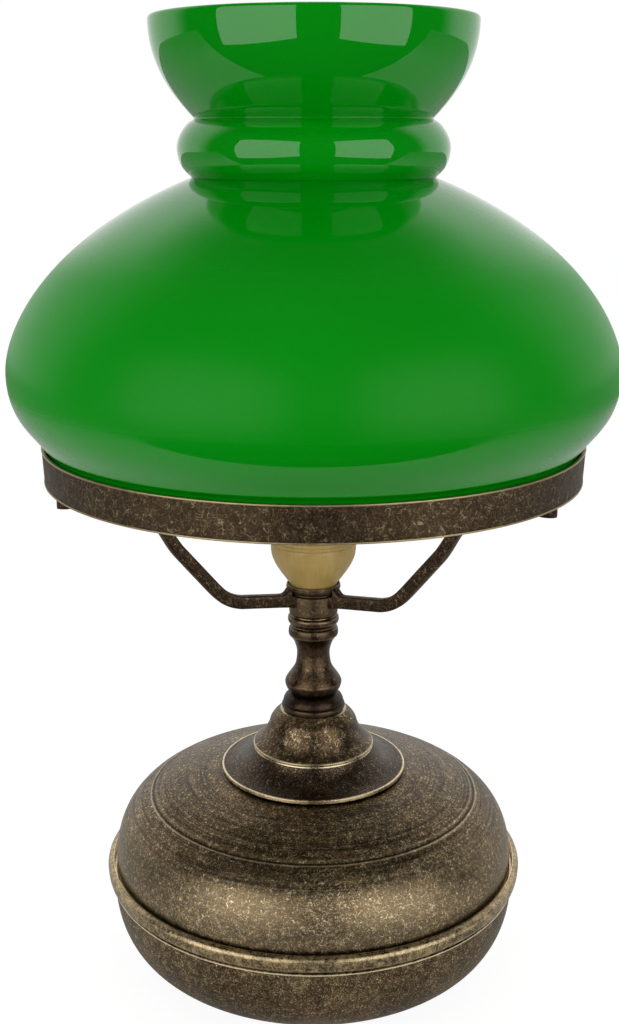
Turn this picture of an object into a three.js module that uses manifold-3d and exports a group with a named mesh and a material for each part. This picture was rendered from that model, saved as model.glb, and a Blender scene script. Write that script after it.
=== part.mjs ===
// Table lamp in the style of an oil lamp: an open-topped glass shade standing in a three-armed brass ring,
// a turned stem under an E27 lampholder, and a round hollow brass base. Millimetres, +Z up, with the origin
// on the table under the stem's axis.
import * as THREE from "three";
import { mergeVertices } from "three/addons/utils/BufferGeometryUtils.js";
import Module from "manifold-3d";

const wasm = await Module();
wasm.setup();

// ---- Driving dimensions ----

const GAP = 0.3; // clearance between pieces that touch
const BIG = 32; // sides of the large turned pieces
const SMALL = 16; // sides of the stem's pieces and of what stands on its axis
const FINE = 10; // sides of screws and other small round pieces

const pad = { inset: 2, hole: 20, thick: 1.2 }; // inset is inside the plate's edge
const plate = { inset: 2, vent: 5.3, thick: 1.5 }; // inset is inside the bowl's flat foot
const sheet = 1.0; // wall of the spun base shells

const base = {
  radius: 95.3, // widest radius of the bowl, at the seam
  shoulderInset: 1.3, // how far the dome's widest radius stands inside the bowl's
  footRadius: 52, // where the bowl turns flat underneath
  land: 12, // width of the flat ring around the opening under the bowl
  lowerHeight: 41.4, // bowl, from its underside to the seam bead
  upperHeight: 42.7, // dome, from the seam bead to the skirt's edge
  crownInset: 3.2, // how far inside the skirt's edge the dome's curve ends
  crownRise: 2.6, // how much the dome still rises under the skirt
};
const bead = { height: 9.6, overhang: 3, widestBelowTop: 2.6 }; // rolled bead over the seam
const weight = { inset: 19.3, height: 15, bore: 24, clearance: 4 };
const bottomScrew = { radius: 2, head: 3.6, headHeight: 1.1, length: 9, count: 3, first: 30 };

const tube = { radius: 5, bore: 3.4, below: 12, above: 9 }; // hollow threaded rod through the stem
const nut = { flats: 14, height: 3 };
const washer = { radius: 13, thick: 1.2 };

const skirt = { radius: 43.2, height: 10.9, seatInset: 0.3, thick: 1.1, lip: 1.7 }; // its seat bears the bell
const bell = { radius: 28.3, height: 17.7, waist: 20.7, waistHeight: 10.4, topMargin: 0.6, wall: 1.6 };
const collar = { radius: 14.8, height: 7.9, neck: 10.4, edge: 2 };
const baluster = { height: 32.7, foot: 13.25, waist: 7.6, head: 11.5, neck: 10.3, top: 10.9 };
const spacer = { radius: 11.8, height: 5.4, edge: 10.95 };
const hub = { radius: 11.2, height: 10.7, chamfer: 0.7 };
const cup = { radius: 12.5, height: 3.7, wall: 0.7, floor: 1.2 };

const arm = {
  width: 5, // across the arm
  thick: 6, // in the arm's own plane
  endThick: 3.6, // flattened end under the ring
  soft: 0.9, // chamfer of the cast edges
  angles: { arm_right: -34, arm_left: -154, arm_back: 86 },
  rootHeight: 7.2, // arm's centre line above the underside of the hub
  rise: 57.7, // from that root up to the centre line of the flattened end
  inset: 0.7, // how far the rounded end stands inside the ring's lower edge
  bends: { lower: 36, slant: 51, upper: 65, level: 96 }, // radii where the arm changes direction
  pad: 4.3, // radius of the rounded end
  stub: { radius: 2, length: 4.4 }, // threaded stub in the hub
};
const armScrew = { radius: 1.4, head: 2.4, headHeight: 1.0, length: 4.0 };

const ring = { radius: 120, taper: 0.7, height: 15.5, wall: 1.5, flange: 11.5, flangeThick: 1.5 };
const glassPlay = 0.6; // between the glass's collar and the foot of the ring

const glass = {
  wall: 3.2,
  fitterHeight: 14.8, // heights are above the glass's foot
  browStep: 2.8, // how far the dome's lower edge stands out over the collar in the ring
  browHeight: 16.6,
  bulgeStep: 16, // how far the widest radius stands out over the collar
  bulgeHeight: 46.3,
  neck: 52,
  neckHeight: 126.9,
  beadRadius: 58,
  waist: 50.6,
  waistHeight: 151.1,
  rim: 68.9,
  height: 191.8,
};

const holder = {
  footPlay: 1.2, // between the dome's foot and the cup
  body: 4.9, // from the bulb's hole out to the holder's widest radius
  skin: 3.2, // wall around the ceramic insert
  domeHeight: 20.6,
  bodyHeight: 33.5,
  wall: 2.2,
  lift: 1.0, // how far the dome's foot stands above the cup's floor
  insertHeight: 11,
};
const bulb = {
  capRadius: 13.2,
  thread: 0.6,
  crests: 5,
  capHeight: 25,
  neckStep: 0.4, // how far the glass's neck stands out over the cap
  globe: 30,
  length: 106,
  wall: 1,
};
const bulbPlay = 0.8; // radial play between the cap's thread and the holder

const lead = { radius: 1.1, tubeSpread: 1.8, holderSpread: 6, blockSpread: 8 };
const terminal = { length: 30, width: 16, height: 13, offset: 46, wire: 5 };
const bushing = { bore: 4, stem: 5.8, flange: 8.4, flangeThick: 2, grip: 5, height: 33, angle: 90 };

// ---- Radii that follow from the driving dimensions ----

const bore = tube.radius + GAP; // hole of every piece threaded on the tube
const shoulder = base.radius - base.shoulderInset;
const footOpening = base.footRadius - base.land;
const plateRadius = base.footRadius - plate.inset;
const padRadius = plateRadius - pad.inset;
const bottomCircle = (footOpening + plateRadius) / 2; // where the bottom screws stand
const beadWidest = base.radius + bead.overhang;
const weightRadius = base.radius - weight.inset;
const skirtSeat = bell.radius - skirt.seatInset;
const bellTop = collar.radius + bell.topMargin;
const cupRecess = cup.radius - cup.wall;
const holderFoot = cupRecess - holder.footPlay;
const threadBore = bulb.capRadius + bulb.thread + bulbPlay;
const holderRadius = threadBore + holder.body;
const ringLower = ring.radius - ring.taper;
const fitter = ringLower - ring.wall - glassPlay;
const brow = fitter + glass.browStep;
const bulge = fitter + glass.bulgeStep;
const armReach = ringLower - arm.inset;
const armCircle = armReach - arm.pad; // where the arm screws stand

// ---- Heights, stacked from the table ----

const plateZ = pad.thick + GAP;
const bowlZ = plateZ + plate.thick + GAP;
const beadZ = bowlZ + base.lowerHeight;
const domeZ = beadZ + bead.height;
const seamZ = (beadZ + domeZ) / 2;
const domeTopZ = domeZ + base.upperHeight;
const crownZ = domeTopZ + base.crownRise;
const skirtZ = domeTopZ + GAP;
const bellZ = skirtZ + skirt.height + GAP;
const collarZ = bellZ + bell.height + GAP;
const balusterZ = collarZ + collar.height + GAP;
const spacerZ = balusterZ + baluster.height + GAP;
const hubZ = spacerZ + spacer.height + GAP;
const cupZ = hubZ + hub.height + GAP;
const holderZ = cupZ + cup.floor + holder.lift;
const bodyZ = holderZ + holder.domeHeight + GAP;
const bodyTopZ = bodyZ + holder.bodyHeight;
const insertTopZ = bodyZ + holder.insertHeight;
const contactTopZ = insertTopZ + 2.4;
const bulbZ = contactTopZ + GAP;
const armZ = hubZ + arm.rootHeight;
const ringZ = armZ + arm.rise + arm.endThick / 2 + GAP;
const glassZ = ringZ + ring.flangeThick + GAP;
const weightZ = bowlZ + sheet + GAP;
const deckZ = weightZ + weight.height + GAP;
const tubeBottomZ = crownZ - tube.below;
const tubeTopZ = holderZ + tube.above;

// ---- Outlines: lists of [radius, height] ----

const mix = (a, b, share) => a + (b - a) * share;
const same = (a, b) => Math.hypot(a[0] - b[0], a[1] - b[1]) < 1e-4;
const chain = (...parts) => parts.flat().filter((p, i, all) => i === 0 || !same(p, all[i - 1]));
const vectors = (points) => points.map((p) => new THREE.Vector2(...p));
const pairs = (vectorList) => vectorList.map((p) => [p.x, p.y]);
const bezier = (steps, ...points) => pairs(new THREE.CubicBezierCurve(...vectors(points)).getPoints(steps));
const spline = (steps, points) => pairs(new THREE.SplineCurve(vectors(points)).getPoints(steps));

function arc(centre, radius, from, to, steps) {
  return Array.from({ length: steps + 1 }, (_, i) => {
    const a = THREE.MathUtils.degToRad(mix(from, to, i / steps));
    return [centre[0] + radius * Math.cos(a), centre[1] + radius * Math.sin(a)];
  });
}

// The outline moved to its left by a distance, for the other face of a sheet.
function offset(outline, distance) {
  return outline.map((p, i) => {
    const before = outline[Math.max(i - 1, 0)];
    const after = outline[Math.min(i + 1, outline.length - 1)];
    const [dx, dy] = [after[0] - before[0], after[1] - before[1]];
    const step = distance / Math.hypot(dx, dy);
    return [p[0] - dy * step, p[1] + dx * step];
  });
}

// ---- Solids ----

// Turns a closed outline about the Z axis. It runs anticlockwise, with the radius to the right.
function turned(outline, sides) {
  const onAxis = outline[0][0] < 1e-6 && outline.at(-1)[0] < 1e-6;
  const points = onAxis || same(outline[0], outline.at(-1)) ? outline : [...outline, outline[0]];
  return new THREE.LatheGeometry(vectors(points), sides).rotateX(Math.PI / 2);
}

// A sheet inside an outer outline that is drawn upwards.
const turnedSheet = (outer, wall, sides) => turned([...outer, ...offset(outer, wall).reverse()], sides);

const rod = (radius, bottom, top, sides) =>
  new THREE.CylinderGeometry(radius, radius, top - bottom, sides)
    .rotateX(Math.PI / 2)
    .translate(0, 0, (top + bottom) / 2);

const pipe = (outer, inner, bottom, top, sides) =>
  turned([[inner, bottom], [outer, bottom], [outer, top], [inner, top]], sides);

function solidOf(geometry) {
  const bare = new THREE.BufferGeometry().setAttribute("position", geometry.getAttribute("position"));
  if (geometry.index) bare.setIndex(geometry.index);
  const merged = mergeVertices(bare, 1e-4);
  const vertProperties = merged.attributes.position.array;
  const triVerts = new Uint32Array(merged.index.array);
  return new wasm.Manifold(new wasm.Mesh({ numProp: 3, vertProperties, triVerts }));
}

function geometryOf(solid) {
  const mesh = solid.getMesh();
  return new THREE.BufferGeometry()
    .setAttribute("position", new THREE.BufferAttribute(new Float32Array(mesh.vertProperties), 3))
    .setIndex(new THREE.BufferAttribute(new Uint32Array(mesh.triVerts), 1))
    .toNonIndexed();
}

const cut = (geometry, ...tools) =>
  geometryOf(tools.reduce((solid, tool) => solid.subtract(solidOf(tool)), solidOf(geometry)));
const join = (geometry, ...others) =>
  geometryOf(others.reduce((solid, other) => solid.add(solidOf(other)), solidOf(geometry)));

const turnBy = (geometry, degrees) => geometry.clone().rotateZ(THREE.MathUtils.degToRad(degrees));
const placed = (geometry, radius, degrees) => turnBy(geometry.clone().translate(radius, 0, 0), degrees);

// A countersunk screw along Z: its head's face is at z, and its shank on the side of direction.
function screw({ radius, head, headHeight, length }, z, direction) {
  const half = [[0, 0], [head, 0], [radius, headHeight], [radius, length], [0, length]];
  const outline = half.map(([r, h]) => [r, z + direction * h]);
  return turned(direction > 0 ? outline : outline.reverse(), FINE);
}

// The hole for such a screw, with clearance all round.
function screwHole({ radius, head, headHeight, length }, z, direction) {
  const wide = head + GAP;
  const narrow = radius + GAP;
  const end = length + GAP;
  const half = [[0, -1], [wide, -1], [wide, GAP], [narrow, headHeight + GAP], [narrow, end], [0, end]];
  const outline = half.map(([r, h]) => [r, z + direction * h]);
  return turned(direction > 0 ? outline : outline.reverse(), FINE);
}

function hexNut(z) {
  const corner = nut.flats / 2 / Math.cos(Math.PI / 6);
  return cut(rod(corner, z, z + nut.height, 6), rod(bore, z - 1, z + nut.height + 1, FINE));
}

// ---- Materials ----

const finish = (color, roughness, metalness) =>
  new THREE.MeshStandardMaterial({ color, roughness, metalness });
const agedBrass = finish(0x5f5039, 0.45, 1);
const darkBrass = finish(0x463a2b, 0.5, 1);
const bareBrass = finish(0xb08d45, 0.35, 1);
const steel = finish(0x8a8c8f, 0.4, 1);
const castIron = finish(0x2f2f31, 0.8, 1);
const ivory = finish(0xb79a5b, 0.45, 0);
const ceramic = finish(0xe8e4da, 0.5, 0);
const greenGlass = finish(0x0a8418, 0.08, 0);
const opalGlass = finish(0xf3f1ea, 0.3, 0);
const felt = finish(0x1d3a26, 0.95, 0);
const blackPlastic = finish(0x1b1b1c, 0.5, 0);
const blueInsulation = finish(0x2a5aa8, 0.6, 0);
const brownInsulation = finish(0x5a3520, 0.6, 0);

const lamp = new THREE.Group();

function add(name, geometry, material) {
  const mesh = new THREE.Mesh(geometry, material);
  mesh.name = name;
  lamp.add(mesh);
}

// ---- Foot and base ----

const bottomAngles = Array.from(
  { length: bottomScrew.count },
  (_, i) => bottomScrew.first + (360 / bottomScrew.count) * i,
);
const bottomHoles = bottomAngles.map((a) => placed(screwHole(bottomScrew, plateZ, 1), bottomCircle, a));

function addFoot() {
  add("felt_pad", pipe(padRadius, pad.hole, 0, pad.thick, BIG), felt);
  const disc = pipe(plateRadius, plate.vent, plateZ, plateZ + plate.thick, BIG);
  add("bottom_plate", cut(disc, ...bottomHoles), steel);
  const single = screw(bottomScrew, plateZ, 1);
  bottomAngles.forEach((a, i) => add(`bottom_screw_${i + 1}`, placed(single, bottomCircle, a), steel));
}

// The bowl's outer face, from the foot opening out and up to the seam.
function bowlOutline() {
  const side = bezier(
    5,
    [base.footRadius, bowlZ],
    [mix(base.footRadius, base.radius, 0.55), bowlZ],
    [base.radius, mix(bowlZ, beadZ, 0.22)],
    [base.radius, beadZ],
  );
  return chain([[footOpening, bowlZ]], side, [[base.radius, seamZ - GAP / 2]]);
}

// The dome's outer face, from the seam up and in to the tube's hole.
function domeOutline() {
  const crown = skirt.radius - base.crownInset;
  const side = bezier(
    6,
    [shoulder, domeZ],
    [shoulder, mix(domeZ, domeTopZ, 0.8)],
    [mix(crown, shoulder, 0.43), mix(domeZ, domeTopZ, 0.87)],
    [crown, domeTopZ],
  );
  return chain([[shoulder, seamZ + GAP / 2]], side, [[washer.radius + 2, crownZ]], [[bore, crownZ]]);
}

// Turns a shape drawn along +Z from the bowl's face outwards onto that face, at the bushing's place.
function onBowl(geometry) {
  const face = bowlOutline();
  const upper = face.findIndex((p) => p[1] > bushing.height);
  const [a, b] = [face[upper - 1], face[upper]];
  const radius = mix(a[0], b[0], (bushing.height - a[1]) / (b[1] - a[1]));
  const lean = Math.atan2(b[0] - a[0], b[1] - a[1]);
  const leaning = geometry.clone().rotateY(Math.PI / 2 + lean);
  return turnBy(leaning.translate(radius, 0, bushing.height), bushing.angle);
}

function addShells() {
  const bowl = turnedSheet(bowlOutline(), sheet, BIG);
  const outlet = onBowl(rod(bushing.stem + GAP, -8, 8, FINE));
  add("base_lower_shell", cut(bowl, outlet, ...bottomHoles), agedBrass);
  add("base_upper_shell", turnedSheet(domeOutline(), sheet, BIG), agedBrass);

  const inside = base.radius + GAP;
  const widestZ = domeZ - bead.widestBelowTop;
  const rolled = chain(
    [[inside, beadZ]],
    spline(4, [
      [inside + 0.6, beadZ],
      [mix(inside, beadWidest, 0.8), mix(beadZ, widestZ, 0.45)],
      [beadWidest, widestZ],
    ]),
    arc([beadWidest - bead.widestBelowTop, widestZ], bead.widestBelowTop, 0, 90, 3),
    [[inside, domeZ]],
  );
  add("base_bead_ring", turned(rolled.filter((p) => p[0] >= inside), BIG), agedBrass);

  const sleeve = shoulder - sheet - GAP;
  add("base_seam_sleeve", pipe(sleeve, sleeve - sheet, beadZ, domeZ, BIG), bareBrass);
}

function addWeight() {
  const top = weightZ + weight.height;
  const casting = turned(
    [
      [weight.bore, weightZ],
      [base.footRadius - 1, weightZ],
      [mix(base.footRadius, weightRadius, 0.55), weightZ + weight.clearance],
      [weightRadius, mix(weightZ, top, 0.7)],
      [weightRadius, top],
      [weight.bore, top],
    ],
    BIG,
  );
  add("base_weight", cut(casting, ...bottomHoles), castIron);
}

function addBushing() {
  const { stem, flange, flangeThick, grip } = bushing;
  const grommet = turned(
    [
      [bushing.bore, -grip],
      [stem, -grip],
      [stem, GAP],
      [flange, GAP],
      [flange - 0.8, flangeThick],
      [bushing.bore, flangeThick],
    ],
    FINE,
  );
  add("cable_bushing", onBowl(grommet), blackPlastic);
}

// ---- Tube and stem ----

function addTube() {
  add("threaded_tube", pipe(tube.radius, tube.bore, tubeBottomZ, tubeTopZ, FINE), bareBrass);
  const washerZ = crownZ - sheet - GAP - washer.thick;
  add("base_washer", pipe(washer.radius, bore, washerZ, washerZ + washer.thick, SMALL), steel);
  add("base_locknut", hexNut(washerZ - GAP - nut.height), steel);
  add("holder_locknut", hexNut(holderZ + holder.wall + 2 * GAP), steel);
}

function addSkirt() {
  const top = skirtZ + skirt.height;
  const rim = skirt.radius - skirt.thick;
  const face = bezier(
    6,
    [skirt.radius - 0.3, skirtZ + skirt.lip],
    [mix(skirtSeat, skirt.radius, 0.5), skirtZ + skirt.lip + 0.6],
    [mix(skirtSeat, skirt.radius, 0.2), mix(skirtZ, top, 0.45)],
    [skirtSeat, top],
  );
  const under = bezier(
    4,
    [skirtSeat - skirt.thick, top - skirt.thick],
    [mix(skirtSeat, rim, 0.1), mix(skirtZ, top, 0.3)],
    [mix(skirtSeat, rim, 0.5), skirtZ + skirt.lip / 2],
    [rim, skirtZ],
  );
  const hole = [[bore, top], [bore, top - skirt.thick]];
  const edge = [[skirt.radius, skirtZ], [skirt.radius, skirtZ + skirt.lip - 0.3]];
  add("stem_skirt", turned(chain(edge, face, hole, under), BIG), darkBrass);
}

function addBell() {
  const top = bellZ + bell.height;
  const waistZ = bellZ + bell.waistHeight;
  const flare = bezier(
    4,
    [bell.radius, bellZ + 0.9],
    [bell.radius - 3.2, bellZ + 2.8],
    [bell.waist + 2, mix(bellZ, waistZ, 0.55)],
    [bell.waist, waistZ],
  );
  const dome = bezier(
    4,
    [bell.waist, waistZ],
    [bell.waist - 0.5, waistZ + 3],
    [bellTop + 3, top - 2.2],
    [bellTop, top],
  );
  const narrow = bell.waist - bell.wall;
  const inner = [
    [bore, top],
    [bore, top - bell.wall],
    [bellTop - 1, top - bell.wall],
    [narrow, waistZ],
    [narrow, bellZ],
  ];
  add("stem_bell", turned(chain([[bell.radius, bellZ]], flare, dome, inner), SMALL), agedBrass);
}

function addCollar() {
  const top = collarZ + collar.height;
  const edge = collar.edge;
  const fall = bezier(
    4,
    [collar.radius, collarZ + edge],
    [collar.radius - 0.3, collarZ + edge + 2],
    [collar.neck + 2.6, top - 0.9],
    [collar.neck, top],
  );
  const foot = [
    [bore, collarZ],
    [collar.radius - 0.6, collarZ],
    [collar.radius, collarZ + 0.6],
  ];
  const outline = chain(foot, fall, [[bore, top]]);
  add("stem_collar", turned(outline, SMALL), darkBrass);
}

function addBaluster() {
  const rise = (share) => mix(balusterZ, balusterZ + baluster.height, share);
  const { neck, foot, waist, head, top } = baluster;
  const vase = spline(18, [
    [neck, rise(0)],
    [foot - 0.85, rise(0.06)],
    [foot, rise(0.14)],
    [mix(waist, foot, 0.76), rise(0.25)],
    [mix(waist, foot, 0.25), rise(0.37)],
    [waist + 0.4, rise(0.46)],
    [waist, rise(0.58)],
    [waist + 0.9, rise(0.73)],
    [mix(waist, head, 0.84), rise(0.85)],
    [head, rise(0.93)],
    [top, rise(1)],
  ]);
  add("stem_baluster", turned(chain([[bore, rise(0)]], vase, [[bore, rise(1)]]), SMALL), agedBrass);

  const spacerTop = spacerZ + spacer.height;
  const full = mix(spacer.edge, spacer.radius, 4 / 3); // a cubic's end handles stand this far out
  const round = bezier(4, [spacer.edge, spacerZ], [full, spacerZ + 0.8], [full, spacerTop - 0.8], [
    spacer.edge,
    spacerTop,
  ]);
  add("stem_spacer", turned(chain([[bore, spacerZ]], round, [[bore, spacerTop]]), SMALL), agedBrass);
}

// ---- Arms and ring ----

// The arm's centre line in its own plane: level out of the hub, up at a slant, and level again to its end.
function armPath() {
  const endZ = armZ + arm.rise;
  const at = (radius, share) => new THREE.Vector2(radius, mix(armZ, endZ, share));
  const path = new THREE.CurvePath();
  const { lower, slant, upper, level } = arm.bends;
  const bend = [at(lower, 0.05), at(mix(lower, slant, 0.47), 0.075), at(mix(lower, slant, 0.67), 0.125)];
  const sweep = [at(upper, 0.52), at(mix(upper, level, 0.24), 0.675), at(mix(upper, level, 0.39), 1)];
  path.add(new THREE.LineCurve(at(hub.radius + 3 * GAP, 0), bend[0]));
  path.add(new THREE.CubicBezierCurve(...bend, at(slant, 0.23)));
  path.add(new THREE.LineCurve(at(slant, 0.23), sweep[0]));
  path.add(new THREE.CubicBezierCurve(...sweep, at(level, 1)));
  path.add(new THREE.LineCurve(at(level, 1), at(armReach - arm.pad, 1)));
  return path;
}

// A flat bar with chamfered edges that follows the path and thins towards its end.
function armBar() {
  const path = armPath();
  const steps = 16;
  const centre = pairs(path.getSpacedPoints(steps));
  const edge = (side) =>
    offset(centre, side).map((p, i) => {
      const half = mix(arm.thick, arm.endThick, THREE.MathUtils.smoothstep(i / steps, 0.45, 0.9)) / 2;
      return [mix(centre[i][0], p[0], half), mix(centre[i][1], p[1], half)];
    });
  const outline = new THREE.Shape(vectors([...edge(-1), ...edge(1).reverse()]));
  const bevel = { bevelThickness: arm.soft, bevelSize: arm.soft, bevelOffset: -arm.soft, bevelSegments: 1 };
  const depth = arm.width - 2 * arm.soft;
  const bar = new THREE.ExtrudeGeometry(outline, { depth, ...bevel });
  return bar.rotateX(Math.PI / 2).translate(0, depth / 2, 0);
}

const seatTopZ = ringZ + ring.flangeThick;
const armHole = screwHole(armScrew, seatTopZ, -1);

function addHubAndArms() {
  const { radius, height, chamfer } = hub;
  const top = hubZ + height;
  const outline = [
    [bore, hubZ],
    [radius - chamfer, hubZ],
    [radius, hubZ + chamfer],
    [radius, top - chamfer],
    [radius - chamfer, top],
    [bore, top],
  ];
  const angles = Object.values(arm.angles);
  const socket = rod(arm.stub.radius + GAP, -1, 6, FINE).rotateY(Math.PI / 2);
  const stubHole = socket.translate(radius - 5, 0, armZ);
  const holes = angles.map((a) => turnBy(stubHole, a));
  add("arm_hub", cut(turned(outline, SMALL), ...holes), agedBrass);

  const stub = rod(arm.stub.radius, -arm.stub.length, 3, FINE).rotateY(Math.PI / 2);
  const end = rod(arm.pad, ringZ - GAP - arm.endThick, ringZ - GAP, SMALL).translate(armCircle, 0, 0);
  const whole = join(armBar(), stub.translate(radius + GAP, 0, armZ), end);
  const single = cut(whole, armHole.clone().translate(armCircle, 0, 0));
  for (const [name, degrees] of Object.entries(arm.angles)) {
    add(name, turnBy(single, degrees), agedBrass);
    const fixing = placed(screw(armScrew, seatTopZ, -1), armCircle, degrees);
    add(name.replace("arm_", "arm_screw_"), fixing, darkBrass);
  }
}

function addRing() {
  const top = ringZ + ring.height;
  const soft = 0.4; // rounding of the ring's edges
  const outline = [
    [ring.radius - ring.flange, ringZ],
    [ringLower - soft, ringZ],
    [ringLower, ringZ + soft],
    [ring.radius, top - soft],
    [ring.radius - soft, top],
    [ring.radius - ring.wall, top],
    [ringLower - ring.wall, seatTopZ],
    [ring.radius - ring.flange, seatTopZ],
  ];
  const holes = Object.values(arm.angles).map((a) => placed(armHole, armCircle, a));
  add("shade_ring", cut(turned(outline, BIG), ...holes), agedBrass);
}

// ---- Glass ----

function addGlass() {
  const at = (radius, height) => [radius, glassZ + height];
  const { neck, beadRadius, waist, rim, wall } = glass;
  const dome = glass.neckHeight - glass.bulgeHeight;
  const flare = glass.height - glass.waistHeight;
  const lower = bezier(
    3,
    at(brow, glass.browHeight),
    at(mix(brow, bulge, 0.55), glass.browHeight + 4),
    at(bulge, mix(glass.browHeight, glass.bulgeHeight, 0.45)),
    at(bulge, glass.bulgeHeight),
  );
  const upper = bezier(
    7,
    at(bulge, glass.bulgeHeight),
    at(bulge, glass.bulgeHeight + 0.236 * dome),
    at(mix(neck, bulge, 0.751), glass.bulgeHeight + 0.701 * dome),
    at(neck, glass.neckHeight),
  );
  const bead = spline(4, [
    at(neck, glass.neckHeight),
    at(beadRadius - 0.9, glass.neckHeight + 6.2),
    at(beadRadius, glass.neckHeight + 12.4),
    at(mix(waist, beadRadius, 0.8), glass.waistHeight - 6),
    at(waist, glass.waistHeight),
  ]);
  const mouth = bezier(
    4,
    at(waist, glass.waistHeight),
    at(mix(waist, rim, 0.514), glass.waistHeight + 0.238 * flare),
    at(rim, glass.waistHeight + 0.533 * flare),
    at(rim, glass.height - wall / 2),
  );
  const outer = chain([at(fitter, 0)], [at(fitter, glass.fitterHeight)], lower, upper, bead, mouth);
  const isBead = (p) => p[1] > glassZ + glass.neckHeight + 1 && p[1] < glassZ + glass.waistHeight - 1;
  const lining = offset(outer, wall).filter((_, i) => !isBead(outer[i]));
  const lip = arc(at(rim - wall / 2, glass.height - wall / 2), wall / 2, 30, 150, 2);
  add("shade_glass", turned(chain(outer, lip, lining.reverse()), BIG), greenGlass);
}

// ---- Lampholder ----

function addHolderShells() {
  const cupTop = cupZ + cup.height;
  const floorZ = cupZ + cup.floor;
  const saucer = [
    [bore, cupZ],
    [hub.radius, cupZ],
    [cup.radius, cupZ + 1.2],
    [cup.radius, cupTop],
    [cupRecess, cupTop],
    [cupRecess, floorZ],
    [bore, floorZ],
  ];
  add("holder_cup", turned(saucer, SMALL), darkBrass);

  const top = holderZ + holder.domeHeight;
  const rise = (share) => mix(holderZ, top, share);
  const { wall, skin } = holder;
  const foot = holderFoot;
  const radius = holderRadius;
  const face = spline(8, [
    [foot, holderZ],
    [mix(foot, radius, 0.08), rise(0.09)],
    [mix(foot, radius, 0.22), rise(0.18)],
    [mix(foot, radius, 0.51), rise(0.354)],
    [mix(foot, radius, 0.755), rise(0.524)],
    [mix(foot, radius, 0.94), rise(0.7)],
    [radius - 0.05, rise(0.845)],
    [radius, top],
  ]);
  const hollow = [
    [radius - wall, top],
    [radius - wall - 0.4, rise(0.78)],
    [mix(foot, radius, 0.56) - wall, rise(0.5)],
    [foot - 1, holderZ + wall],
    [bore, holderZ + wall],
    [bore, holderZ],
  ];
  add("holder_cap", turned(chain(face, hollow), SMALL), ivory);

  const body = [
    [radius - skin, bodyZ],
    [radius, bodyZ],
    [radius, bodyZ + 3],
    [radius - 1.2, bodyZ + 4.2],
    [radius - 2, bodyTopZ],
    [threadBore, bodyTopZ],
    [threadBore, insertTopZ],
    [radius - skin, insertTopZ],
  ];
  add("holder_body", turned(body, SMALL), ivory);
}

function addHolderInside() {
  const blockRadius = holderRadius - holder.skin - GAP;
  const springZ = bodyZ + 4;
  const wireHoles = [-1, 1].map((side) =>
    rod(lead.radius + 2 * GAP, bodyZ - 1, bodyZ + 6, FINE).translate(0, side * lead.holderSpread, 0),
  );
  const well = rod(1.8 + GAP, springZ, insertTopZ + 1, FINE);
  const slot = new THREE.BoxGeometry(1.6, 5.4, 12).translate(10.6, 0, insertTopZ);
  const block = rod(blockRadius, bodyZ, insertTopZ - GAP, SMALL);
  add("holder_insert", cut(block, ...wireHoles, well, slot), ceramic);
  add("centre_contact", rod(1.8, springZ + GAP, contactTopZ, FINE), bareBrass);
  add("side_contact", new THREE.BoxGeometry(0.8, 4.6, 9).translate(10.6, 0, insertTopZ - GAP), bareBrass);
}

// ---- Bulb ----

function addBulb() {
  const { capRadius, thread, crests } = bulb;
  const capZ = bulbZ + 3.4;
  const capTop = bulbZ + bulb.capHeight;
  const inside = capRadius - 0.6;
  const ridges = Array.from({ length: 2 * crests + 1 }, (_, i) => [
    capRadius + (i % 2) * thread,
    mix(capZ, capTop - 4, i / (2 * crests)),
  ]);
  const capOutline = chain(ridges, [[capRadius, capTop]], [[inside, capTop]], [[inside, capZ]]);
  add("bulb_cap", turned(capOutline, SMALL), steel);

  const seal = inside - GAP;
  const plug = [[0, bulbZ + 1.6], [5.2, bulbZ + 1.6], [seal, capZ + 1], [seal, capZ + 4], [0, capZ + 4]];
  add("bulb_insulator", turned(plug, SMALL), blackPlastic);
  const button = [[0, bulbZ], [3, bulbZ], [4.4, bulbZ + 1.3], [0, bulbZ + 1.3]];
  add("bulb_contact", turned(button, FINE), bareBrass);

  const neckZ = capTop + GAP;
  const neck = capRadius + bulb.neckStep;
  const centre = bulbZ + bulb.length - bulb.globe;
  const cheek = bezier(
    5,
    [neck, neckZ + 1.5],
    [neck + 1.5, neckZ + 14],
    [bulb.globe, centre - 22],
    [bulb.globe, centre],
  );
  const outer = chain([[capRadius - 1, neckZ]], cheek, arc([0, centre], bulb.globe, 0, 90, 5));
  const inner = chain(
    arc([0, centre], bulb.globe - bulb.wall, 90, 0, 4),
    offset(cheek, bulb.wall).reverse().slice(1),
    [[capRadius - 1 - bulb.wall, neckZ]],
  );
  add("bulb_globe", turned([[capRadius - 1 - bulb.wall, neckZ], ...outer, ...inner], SMALL), opalGlass);
}

// ---- Terminals and leads ----

function addTerminals() {
  const { width, length, height, offset: x, wire } = terminal;
  const top = deckZ + height;
  const block = new THREE.BoxGeometry(width, length, height).translate(x, 0, deckZ + height / 2);
  const tools = [-1, 1].flatMap((side) => {
    const y = side * lead.blockSpread;
    const entry = rod(lead.radius + 2 * GAP, -1, 7, FINE).rotateY(Math.PI / 2);
    return [
      rod(1.6 + GAP, deckZ + wire + 2, top + 1, FINE).translate(x + 3, y, 0),
      entry.translate(x - width / 2, y, deckZ + wire),
    ];
  });
  const fixing = rod(1.5 + GAP, deckZ - 1, top + 1, FINE).translate(x, 0, 0);
  add("terminal_block", cut(block, ...tools, fixing), ceramic);
  [-1, 1].forEach((side, i) => {
    const clamp = rod(1.6, deckZ + wire + 2 + GAP, top - 1, FINE);
    add(`terminal_screw_${i + 1}`, clamp.translate(x + 3, side * lead.blockSpread, 0), bareBrass);
  });
  add("terminal_fixing_screw", rod(1.5, deckZ + GAP, top - GAP, FINE).translate(x, 0, 0), steel);
}

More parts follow.
